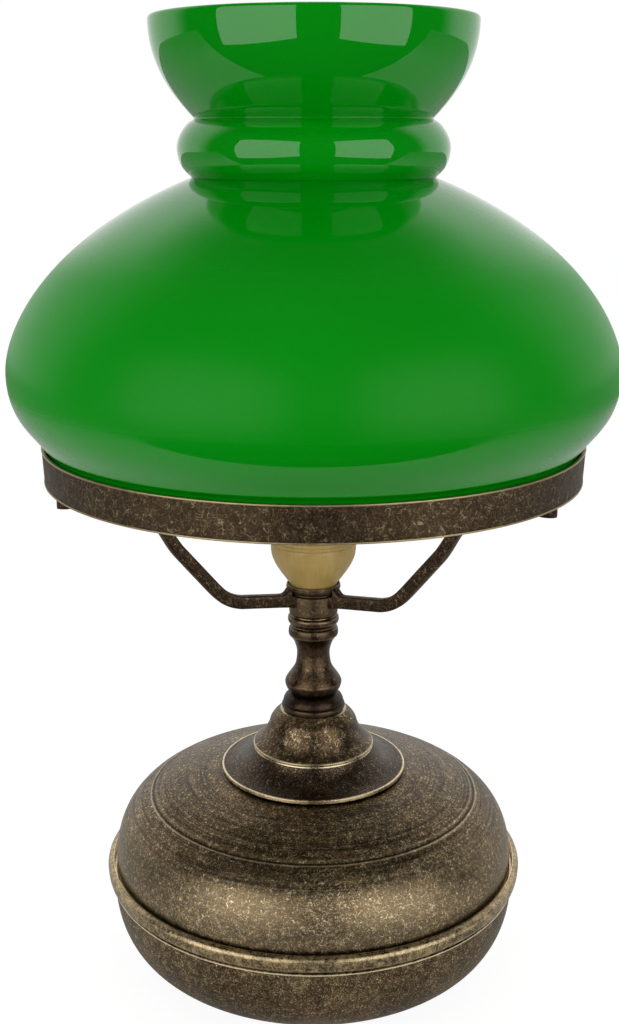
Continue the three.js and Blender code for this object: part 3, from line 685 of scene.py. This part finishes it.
def add_collar():
    low, high = heights("stem_collar")
    rim, neck, roll_high = radius_of("stem_collar"), 10.4, low + 2.9
    step = rim - 0.75
    handles = (rim + 0.28, low + 0.2), (rim + 0.28, roll_high - 0.6)
    roll = bezier((rim - 1, low), *handles, (step, roll_high), 12)
    fall = bezier((step, roll_high), (rim - 0.5, roll_high + 1.8), (neck + 2.6, high - 0.9), (neck, high))
    outline = [(BORE, low), *roll, *fall[1:], (BORE, high)]
    turned("stem_collar", outline, dull_brass, FRAME_BODY, ["stem_collar"])


def add_baluster():
    low, high = heights("stem_baluster")
    foot, waist, head, neck, top = radius_of("stem_baluster"), 7.6, 11.5, 10.3, 10.9

    def at(radius, share):
        return (radius, mix(low, high, share))

    vase = spline(
        [
            at(neck, 0),
            at(foot - 0.85, 0.06),
            at(foot, 0.14),
            at(foot - 0.35, 0.19),
            at(mix(waist, foot, 0.73), 0.25),
            at(mix(waist, foot, 0.25), 0.37),
            at(waist + 0.4, 0.46),
            at(waist, 0.58),
            at(waist + 0.35, 0.67),
            at(waist + 1.6, 0.78),
            at(head - 0.75, 0.845),
            at(head - 0.1, 0.87),
            at(head, 0.92),
            at(head - 0.35, 0.97),
            at(top - 0.6, 1),
        ]
    )
    outline = [(BORE, low), *vase, (BORE, high)]
    turned("stem_baluster", outline, stem_brass, FRAME_BODY, ["stem_baluster"])


def add_spacer():
    low, high = heights("stem_spacer")
    crest = radius_of("stem_spacer")
    edge, full = crest - 0.85, crest - 0.1
    belly = (full, mix(low, high, 0.38)), (full, mix(low, high, 0.72))
    swell = [(edge, low + 0.9), *belly, (edge, high - 0.5)]
    corners = [
        (BORE, low),
        (edge - 0.5, low),
        (edge - 0.5, low + 0.7, 0.3),
        *spline(swell),
        (edge - 0.2, high),
        (BORE, high),
    ]
    turned("stem_spacer", rounded(corners), stem_brass, FRAME_BODY, ["stem_spacer"])


def add_hub():
    low, high = heights("arm_hub")
    radius = radius_of("arm_hub")
    corners = [
        (BORE, low),
        (radius - 0.5, low, 0.2),
        (radius, low + 0.6, 0.4),
        (radius, high - 1.2, 0.3),
        (radius - 0.5, high - 0.8, 0.3),
        (radius - 0.2, high, 0.3),
        (BORE, high),
    ]
    turned("arm_hub", rounded(corners), cast_brass, FRAME_BODY, ["arm_hub"])


# ---- Arms and ring ----

ARM_ANGLES = {"arm_right": -34, "arm_left": -154, "arm_back": 86}
ARM_WIDTH = 5.0
ARM_THICK, ARM_END = 6.0, 3.6  # thickness at the hub and under the ring
ARM_PAD = 4.3  # radius of the round end
ARM_REACH = 118.6
ARM_ROOT = 10.6  # radius inside the hub where the arm starts
ARM_BEND = 36  # radius where the level stretch ends


def arm_line():
    """The arm's centre line as (radius, height): out of the hub, up at a slant, level below the ring."""
    start = heights("arm_hub")[0] + 7.2
    end = heights("shade_ring")[0] - GAP - ARM_END / 2

    def at(radius, share):
        return (radius, mix(start, end, share))

    slope = 0.05 / (ARM_BEND - ARM_ROOT)
    near_hub = (ARM_ROOT, 11.6, 12.4, 12.8, 13.2, 13.8, 14.6, 15.6, 17, 20, 28, ARM_BEND)
    points = [at(r, slope * (r - ARM_ROOT)) for r in near_hub]
    points += bezier(at(ARM_BEND, 0.05), at(43, 0.075), at(46, 0.125), at(51, 0.23), 14)[1:]
    points += [at(58, 0.375), at(65, 0.52)]
    points += bezier(at(65, 0.52), at(72.5, 0.675), at(77, 1), at(96, 1), 20)[1:]
    points += [at(104, 1), at(ARM_REACH - 2 * ARM_PAD, 1)]
    tip = ARM_REACH - 0.02
    points += [at(tip - ARM_PAD * (1 + math.cos(a)), 1) for a in (math.pi * k / 18 for k in range(1, 19))]
    return points


def arm_size(radius, travelled):
    """Width and thickness of the arm there."""
    flare = math.exp(-((radius - 11.6) / 2.2))
    thin = min(1.0, max(0.0, (travelled - 0.45) / 0.45))
    thick = mix(ARM_THICK, ARM_END, thin * thin * (3 - 2 * thin))
    width = ARM_WIDTH + 2.0 * flare
    from_centre = radius - (ARM_REACH - ARM_PAD)
    if abs(from_centre) < ARM_PAD:
        disc = 2 * math.sqrt(ARM_PAD**2 - from_centre**2)
        width = max(width, disc) if from_centre < 0 else disc
    return max(width, 0.3), thick


def arm_section(width, thick, count=28):
    """Points round a rounded rectangle, as (across, up)."""
    power = 0.42
    points = []
    for k in range(count):
        a = math.tau * (k + 0.5) / count
        c, s = math.cos(a), math.sin(a)
        across, up = math.copysign(abs(c) ** power, c), math.copysign(abs(s) ** power, s)
        points.append((across * width / 2, up * thick / 2))
    return points


def add_arm(name, degrees):
    """One arm swept along its line, with a fillet on top where it meets the hub."""
    line = arm_line()
    total = sum((Vector(b) - Vector(a)).length for a, b in zip(line, line[1:]))
    mesh = bmesh.new()
    wear_layer = mesh.verts.layers.float.new("wear")
    uv = mesh.loops.layers.uv.new("turned")
    travelled, rings = 0.0, []
    for i, point in enumerate(line):
        before, after = line[max(i - 1, 0)], line[min(i + 1, len(line) - 1)]
        along = (Vector(after) - Vector(before)).normalized()
        if i:
            travelled += (Vector(point) - Vector(line[i - 1])).length
        width, thick = arm_size(point[0], travelled / total)
        fillet = 3.4 * math.exp(-(((point[0] - 12.7) / 1.8) ** 2)) if point[0] > 12.6 else 0.0
        ring = []
        for across, up in arm_section(width, thick):
            lifted = up + fillet * max(0.0, 2 * up / thick)
            place = Vector((point[0] - along.y * lifted, across, point[1] + along.x * lifted)) * MM
            vertex = mesh.verts.new(place)
            corner = min(abs(across) / (width / 2), abs(up) / (thick / 2))
            vertex[wear_layer] = max(0.0, corner * 1.6 - 0.8)
            ring.append(vertex)
        rings.append(ring)
    count = len(rings[0])
    for left, right in zip(rings, rings[1:]):
        for k in range(count):
            m = (k + 1) % count
            face = mesh.faces.new((left[k], left[m], right[m], right[k]))
            for loop in face.loops:
                loop[uv].uv = (loop.vert.co.x, loop.vert.co.y + loop.vert.co.z)
    mesh.faces.new(list(reversed(rings[0])))
    mesh.faces.new(rings[-1])
    bmesh.ops.recalc_face_normals(mesh, faces=mesh.faces)
    mesh.transform(Matrix.Rotation(math.radians(degrees), 4, "Z"))
    new_piece(name, mesh_data(name, mesh), cast_brass, FRAME_BODY, [name])


def add_slotted_screw(node, radius, material, head_up=True):
    """A countersunk screw with a slot across its head, in place of a CAD one that stands along Z."""
    low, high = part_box(node)
    centre = (low + high) / 2
    length = (high.z - low.z) / MM
    head, shank, bevel, slot_width, slot_depth = 1.1, radius * 0.58, 0.25, 0.6, 0.5
    outline = [
        (0, 0),
        (shank, 0),
        (shank, length - head),
        (radius, length - bevel),
        (radius - 0.2, length),
        (0, length),
    ]
    if not head_up:
        outline = [(r, length - z) for r, z in reversed(outline)]
    piece = turned(node, outline, material, FRAME_BODY, [node], FEW)
    piece.data.transform(Matrix.Translation((centre.x, centre.y, low.z)))
    face = high.z if head_up else low.z
    place = Matrix.Translation((centre.x, centre.y, face)) @ Matrix.Rotation(centre.x * 300, 4, "Z")
    size = Matrix.Diagonal((3 * radius * MM, slot_width * MM, 2 * slot_depth * MM, 1))
    mesh = bmesh.new()
    bmesh.ops.create_cube(mesh, size=1.0, matrix=place @ size)
    cut_away(piece, mesh)


def add_ring():
    low, high = heights("shade_ring")
    outer = radius_of("shade_ring")
    taper, wall, flange, seat = 0.7, 1.5, 11.5, low + 1.5
    lower = outer - taper
    seam_at, seam_width = math.radians(-66.8), 0.5

    def joint(angle, radius, _height):
        """The fine line where the ring's strip is soldered."""
        if radius < lower - 0.2:
            return 0.0
        return -0.12 * math.exp(-(((angle - math.tau - seam_at) * outer / seam_width) ** 2))

    band = [(mix(lower - 0.25, outer - 0.25, k / 8), mix(low + 0.9, high - 0.9, k / 8)) for k in range(9)]
    corners = [
        (outer - flange, low, 0.3),
        (lower, low, 0.5),
        (lower - 0.02, low + 0.7, 0.2),
        *band,
        (outer, high - 0.7, 0.25),
        (outer, high, 0.3),
        (outer - wall, high, 0.3),
        (lower - wall, seat),
        (outer - flange, seat, 0.3),
    ]
    outline = rounded(corners)
    turned("shade_ring", outline, ring_brass, FRAME_BODY, ["shade_ring"], 2 * MANY, joint)


# ---- Glass ----


def add_glass():
    """The shade: green outside and white inside, one wall all round."""
    low, high = heights("shade_glass")
    bulge = radius_of("shade_glass")
    wall, fitter, brow, neck, bead, waist, rim = 3.2, 117.2, 120.0, 52.0, 58.0, 50.6, 68.9
    fitter_z, brow_z, bulge_z, neck_z, waist_z = (low + h for h in (14.8, 16.6, 46.3, 126.9, 151.1))

    lower = bezier(
        (brow, brow_z),
        (mix(brow, bulge, 0.3), brow_z + 6.5),
        (bulge, mix(brow_z, bulge_z, 0.4)),
        (bulge, bulge_z),
        24,
    )
    upper = bezier(
        (bulge, bulge_z),
        (bulge, mix(bulge_z, neck_z, 0.236)),
        (mix(neck, bulge, 0.751), mix(bulge_z, neck_z, 0.701)),
        (neck, neck_z),
        56,
    )
    swell = spline(
        [
            (neck, neck_z),
            (neck + 1.0, neck_z + 0.9),
            (bead - 1.6, neck_z + 5),
            (bead, neck_z + 11.6),
            (bead - 1.2, neck_z + 17),
            (mix(waist, bead, 0.42), waist_z - 2.6),
            (waist + 0.3, waist_z - 0.5),
            (waist, waist_z),
        ]
    )
    mouth = bezier(
        (waist, waist_z),
        (mix(waist, rim, 0.514), mix(waist_z, high, 0.238)),
        (rim, mix(waist_z, high, 0.533)),
        (rim, high - wall / 2),
        36,
    )
    turn_z = fitter_z - 1.2
    turn = bezier((fitter, turn_z), (fitter, fitter_z), (brow - 1.5, brow_z - 1.4), (brow, brow_z), 8)
    collar = [(fitter, low), (fitter, turn_z), *turn]
    outer = tidy([*collar, *lower, *upper, *swell, *mouth])
    lip_z, crest = high - wall / 2, high + wall / 6
    lining = [p for p in shifted(outer, wall) if p[1] < lip_z and not neck_z + 1 < p[1] < waist_z - 1]
    lip = bezier((rim, lip_z), (rim, crest), (rim - wall, crest), (rim - wall, lip_z), 10)

    shade = turned(
        "shade_glass",
        [*outer, *lip[1:], *reversed(lining)],
        [glass_green, glass_white],
        "shade",
        ["shade_glass"],
        MANY,
        lined_from=len(outer) + len(lip) // 2,
    )
    add_haze(shade, (bulge_z - 14, bulge_z - 4), (bulge_z + 40, bulge_z + 70))


def add_haze(shade, rise, fall):
    """A softer gloss in a band of heights: it grows over the heights of rise and fades over those of fall."""

    def ramp(z, start, end):
        return min(1, max(0, (z - start) / (end - start)))

    haze = shade.data.attributes.new("haze", "FLOAT", "POINT")
    levels = (v.co.z / MM for v in shade.data.vertices)
    haze.data.foreach_set("value", [ramp(z, *rise) * ramp(z, *reversed(fall)) for z in levels])


# ---- Lampholder and bulb ----


def add_holder():
    """The brass cup, the ivory dome in it, and the ivory body over that."""
    low, high = heights("holder_cup")
    rim = radius_of("holder_cup")
    floor_z = low + 1.2
    corners = [
        (BORE, low),
        (rim - 0.9, low, 0.2),
        (rim - 0.5, low + 0.5, 0.3),
        (rim, low + 1.6, 0.9),
        (rim - 0.1, high - 0.9, 0.5),
        (rim - 0.5, high, 0.35),
        (rim - 0.75, high, 0.2),
        (rim - 0.75, floor_z, 0.3),
        (BORE, floor_z),
    ]
    turned("holder_cup", rounded(corners), cast_brass, FRAME_BODY, ["holder_cup"])

    low, high = heights("holder_cap")
    body_low = heights("holder_body")[0]
    radius, foot, wall = radius_of("holder_cap"), 10.6, 2.2
    seam = body_low - 0.06

    def at(r, share):
        return (r, mix(low, high, share))

    face = spline(
        [
            at(foot, 0),
            at(mix(foot, radius, 0.08), 0.09),
            at(mix(foot, radius, 0.22), 0.18),
            at(mix(foot, radius, 0.51), 0.354),
            at(mix(foot, radius, 0.755), 0.524),
            at(mix(foot, radius, 0.93), 0.7),
            at(radius - 0.1, 0.845),
            at(radius - 0.02, 0.93),
        ],
        8,
    )
    groove = [(radius, seam - 0.35), (radius - 0.22, seam)]
    hollow = [
        (radius - wall, seam),
        at(radius - wall - 0.4, 0.78),
        (mix(foot, radius, 0.56) - wall, mix(low, high, 0.5)),
        (foot - 1, low + wall),
        (BORE, low + wall),
        (BORE, low),
    ]
    turned("holder_cap", [*face, *groove, *hollow], ivory, FRAME_BODY, ["holder_cap"])

    low, high = heights("holder_body")
    insert_top = heights("holder_insert")[1] + GAP
    skin, mouth = 3.2, 14.6
    corners = [
        (radius - skin, low),
        (radius - 0.22, low),
        (radius, low + 0.35),
        (radius, low + 1.4),
        (radius - 0.2, low + 1.65),
        (radius, low + 1.9),
        (radius, low + 3, 0.4),
        (radius - 1.2, low + 4.2, 0.5),
        (radius - 2, high, 0.8),
        (mouth, high, 0.8),
        (mouth, insert_top),
        (radius - skin, insert_top),
    ]
    turned("holder_body", rounded(corners), ivory, FRAME_BODY, ["holder_body"])


def add_bulb():
    """The rolled cap and the round opal globe."""
    low, high = heights("bulb_cap")
    crest = radius_of("bulb_cap")
    root, pitch = crest - 0.6, 3.62
    start, end = low + 1.2, high - 4
    outer = [(root, mix(low, high, k / 60)) for k in range(61)]
    inner = [(root - 0.6, high), (root - 0.6, low)]

    def thread(angle, radius, height):
        """The rolled Edison thread, one turn each pitch, fading out at both ends."""
        if radius < root - 0.1 or not start < height < end:
            return 0.0
        fade = min(1.0, (height - start) / 2, (end - height) / 2)
        return 0.3 * fade * (1 + math.cos(math.tau * (height / pitch - angle / math.tau)))

    turned("bulb_cap", [*outer, *inner], cap_metal, "bulb", ["bulb_cap"], shape=thread)

    low, high = heights("bulb_globe")
    globe = radius_of("bulb_globe")
    centre, neck, wall = high - globe, 13.6, 1.0
    cheek = bezier((neck, low + 1.5), (neck + 1.5, low + 14), (globe, centre - 22), (globe, centre), 30)
    quarter = (math.pi / 2 * k / 30 for k in range(31))
    crown = [(globe * math.cos(a), centre + globe * math.sin(a)) for a in quarter]
    outer = [(neck - 1.4, low), *cheek, *crown[1:]]
    outer[-1] = (0.0, high)
    inside = shifted(outer[:-1], wall)
    outline = [*outer, (0.0, high - wall), *reversed(inside)]
    turned("bulb_globe", outline, glass_bulb, "bulb", ["bulb_globe"])


def add_bushing():
    """The cord's outlet at the back of the bowl: a moulded ring with a soft outer edge."""
    bore, stem, flange, thick, grip = 4.0, BUSHING_STEM, 8.4, 2.0, 5.0
    corners = [
        (bore, -grip, 0.4),
        (stem, -grip, 0.5),
        (stem, 0.3),
        (flange, 0.3, 0.3),
        (flange - 0.5, thick, 0.9),
        (bore, thick, 0.7),
    ]
    middle = (thick - grip) / 2
    outline = [(r, z - middle) for r, z in rounded(corners)]
    node = "cable_bushing"
    piece = turned(node, outline, black_rubber, FRAME_BODY, [node], FEW)
    piece.data.transform(bushing_frame())


def finish_cad_nodes():
    """Inner pieces keep their CAD shape and get a full material."""
    kept = {
        steel: ["base_washer", "base_locknut", "holder_locknut", "terminal_fixing_screw"],
        bare_brass: [
            "base_seam_sleeve",
            "threaded_tube",
            "centre_contact",
            "side_contact",
            "bulb_contact",
            "terminal_screw_1",
            "terminal_screw_2",
        ],
        casting: ["base_weight"],
        ceramic: ["holder_insert", "terminal_block"],
        black_rubber: ["bulb_insulator"],
        live_insulation: ["lead_live"],
        neutral_insulation: ["lead_neutral"],
    }
    for material, names in kept.items():
        for name in names:
            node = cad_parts[name]
            node.data.materials.clear()
            node.data.materials.append(material)


# ---- Studio ----


def glow(name, strength):
    """A white material that only shines."""
    material = bpy.data.materials.new(name)
    material.use_nodes = True
    tree = material.node_tree
    tree.nodes.clear()
    emission = add_node(tree, "Emission", {"Color": (1, 1, 1, 1), "Strength": strength})
    add_node(tree, "OutputMaterial", {"Surface": emission.outputs["Emission"]})
    return material


def stage_plane(name, low, high, height, material):
    """A level rectangle between two corners."""
    corners = [(low[0], low[1], 0), (high[0], low[1], 0), (high[0], high[1], 0), (low[0], high[1], 0)]
    mesh = bpy.data.meshes.new(name)
    mesh.from_pydata(corners, [], [(0, 1, 2, 3)])
    mesh.materials.append(material)
    plane = linked(name, mesh)
    plane.location.z = height
    return plane


def seen_by(thing, camera, others):
    """Whether the camera sees the thing, and whether every other ray does."""
    thing.visible_camera = camera
    thing.visible_diffuse = others
    thing.visible_glossy = others
    thing.visible_transmission = others
    thing.visible_shadow = others


def pale(name, tone, shine):
    """A matt surface of one tone that also shines by itself, so that it stays clean in the shade."""
    f = Finish(name, Roughness=0.9)
    f.set("Base Color", linear(tone, tone, tone))
    f.set("Emission Color", (1, 1, 1, 1))
    f.set("Emission Strength", shine)
    return f.material


def add_stage():
    """A white floor and backdrop for the camera, over a pale table that ends a hand's breadth in front."""
    drop = 0.2 * MM
    floor = stage_plane("floor", (-5, -5), (5, 5), -drop, pale("white_floor", 100, 0.92))
    seen_by(floor, camera=True, others=False)
    table = stage_plane("table", (-3, -0.25), (3, 3), -2 * drop, pale("pale_table", 222, 0.05))
    seen_by(table, camera=False, others=True)
    mesh = bmesh.new()
    bmesh.ops.create_icosphere(mesh, subdivisions=4, radius=8)
    data = mesh_data("backdrop", mesh)
    data.materials.append(glow("white_sweep", 1.0))
    backdrop = linked("backdrop", data)
    seen_by(backdrop, camera=True, others=False)


def add_world():
    """Bright behind and beside the lamp, dark in front and overhead, as in a room with a white sweep."""
    world = bpy.data.worlds.new("studio")
    bpy.context.scene.world = world
    world.use_nodes = True
    tree = world.node_tree
    tree.nodes.clear()

    def ramp(value, low, high, start, end):
        values = {"Value": value, "From Min": low, "From Max": high, "To Min": start, "To Max": end}
        return add_node(tree, "MapRange", values, interpolation_type="SMOOTHSTEP").outputs["Result"]

    towards = {"Vector": add_node(tree, "TexCoord").outputs["Generated"]}
    direction = add_node(tree, "SeparateXYZ", towards).outputs
    behind = ramp(direction["Y"], 0.05, 0.4, 0.05, 1.0)
    low_down = ramp(direction["Z"], 0.6, 0.9, 1.0, 0.1)
    strength = add_node(tree, "Math", {0: behind, 1: low_down}, operation="MULTIPLY").outputs["Value"]
    background = add_node(tree, "Background", {"Color": (1, 1, 1, 1), "Strength": strength})
    add_node(tree, "OutputWorld", {"Surface": background.outputs["Background"]})


def add_soft_light(name, place, turn, size, radiance, glossy=True):
    """A rectangular light of that radiance, which faces down if unturned. Reflections show it if glossy."""
    light = bpy.data.lights.new(name, "AREA")
    light.shape = "RECTANGLE"
    light.size, light.size_y = size
    light.energy = radiance * math.pi * size[0] * size[1]
    box = linked(name, light)
    box.location = place
    box.rotation_euler = turn
    box.visible_glossy = glossy


def add_softbox(name, azimuth, width):
    """An upright soft light that faces the lamp; azimuth is degrees to the right of the front."""
    distance, bottom, top = 1.08, -0.07, 1.07
    a = math.radians(azimuth)
    place = (distance * math.sin(a), -distance * math.cos(a), (top + bottom) / 2)
    add_soft_light(name, place, (math.pi / 2, 0, a), (width, top - bottom), 2.1)


def add_camera():
    """The photograph's view, from a little above the shade's widest circle."""
    data = bpy.data.cameras.new("camera")
    data.sensor_width = 36
    data.lens = 49.58
    data.clip_start = 0.01
    camera = linked("camera", data)
    camera.location = (-0.0018, -0.618, 0.387)
    camera.rotation_euler = (math.radians(74.98), 0, 0)
    bpy.context.scene.camera = camera


add_camera()
add_foot()
add_bowl()
add_dome()
add_bead()
add_skirt()
add_bell()
add_collar()
add_baluster()
add_spacer()
add_hub()
for arm_name, arm_degrees in ARM_ANGLES.items():
    add_arm(arm_name, arm_degrees)
for side in ("right", "left", "back"):
    add_slotted_screw(f"arm_screw_{side}", 2.4, dull_brass)
for number in (1, 2, 3):
    add_slotted_screw(f"bottom_screw_{number}", 3.6, steel, head_up=False)
add_ring()
add_glass()
add_holder()
add_bulb()
add_bushing()
finish_cad_nodes()
add_stage()
add_world()
add_softbox("softbox_left", -39, 1.12)
add_softbox("softbox_right", 42, 1.0)
add_soft_light("overhead", (0, -0.2, 1.9), (0, 0, 0), (2.0, 2.0), 0.6, glossy=False)
add_soft_light("back_strip", (0, 0.45, 1.4), (0, 0, 0), (0.5, 0.3), 3.0)
bpy.context.scene.view_settings.view_transform = "Standard"
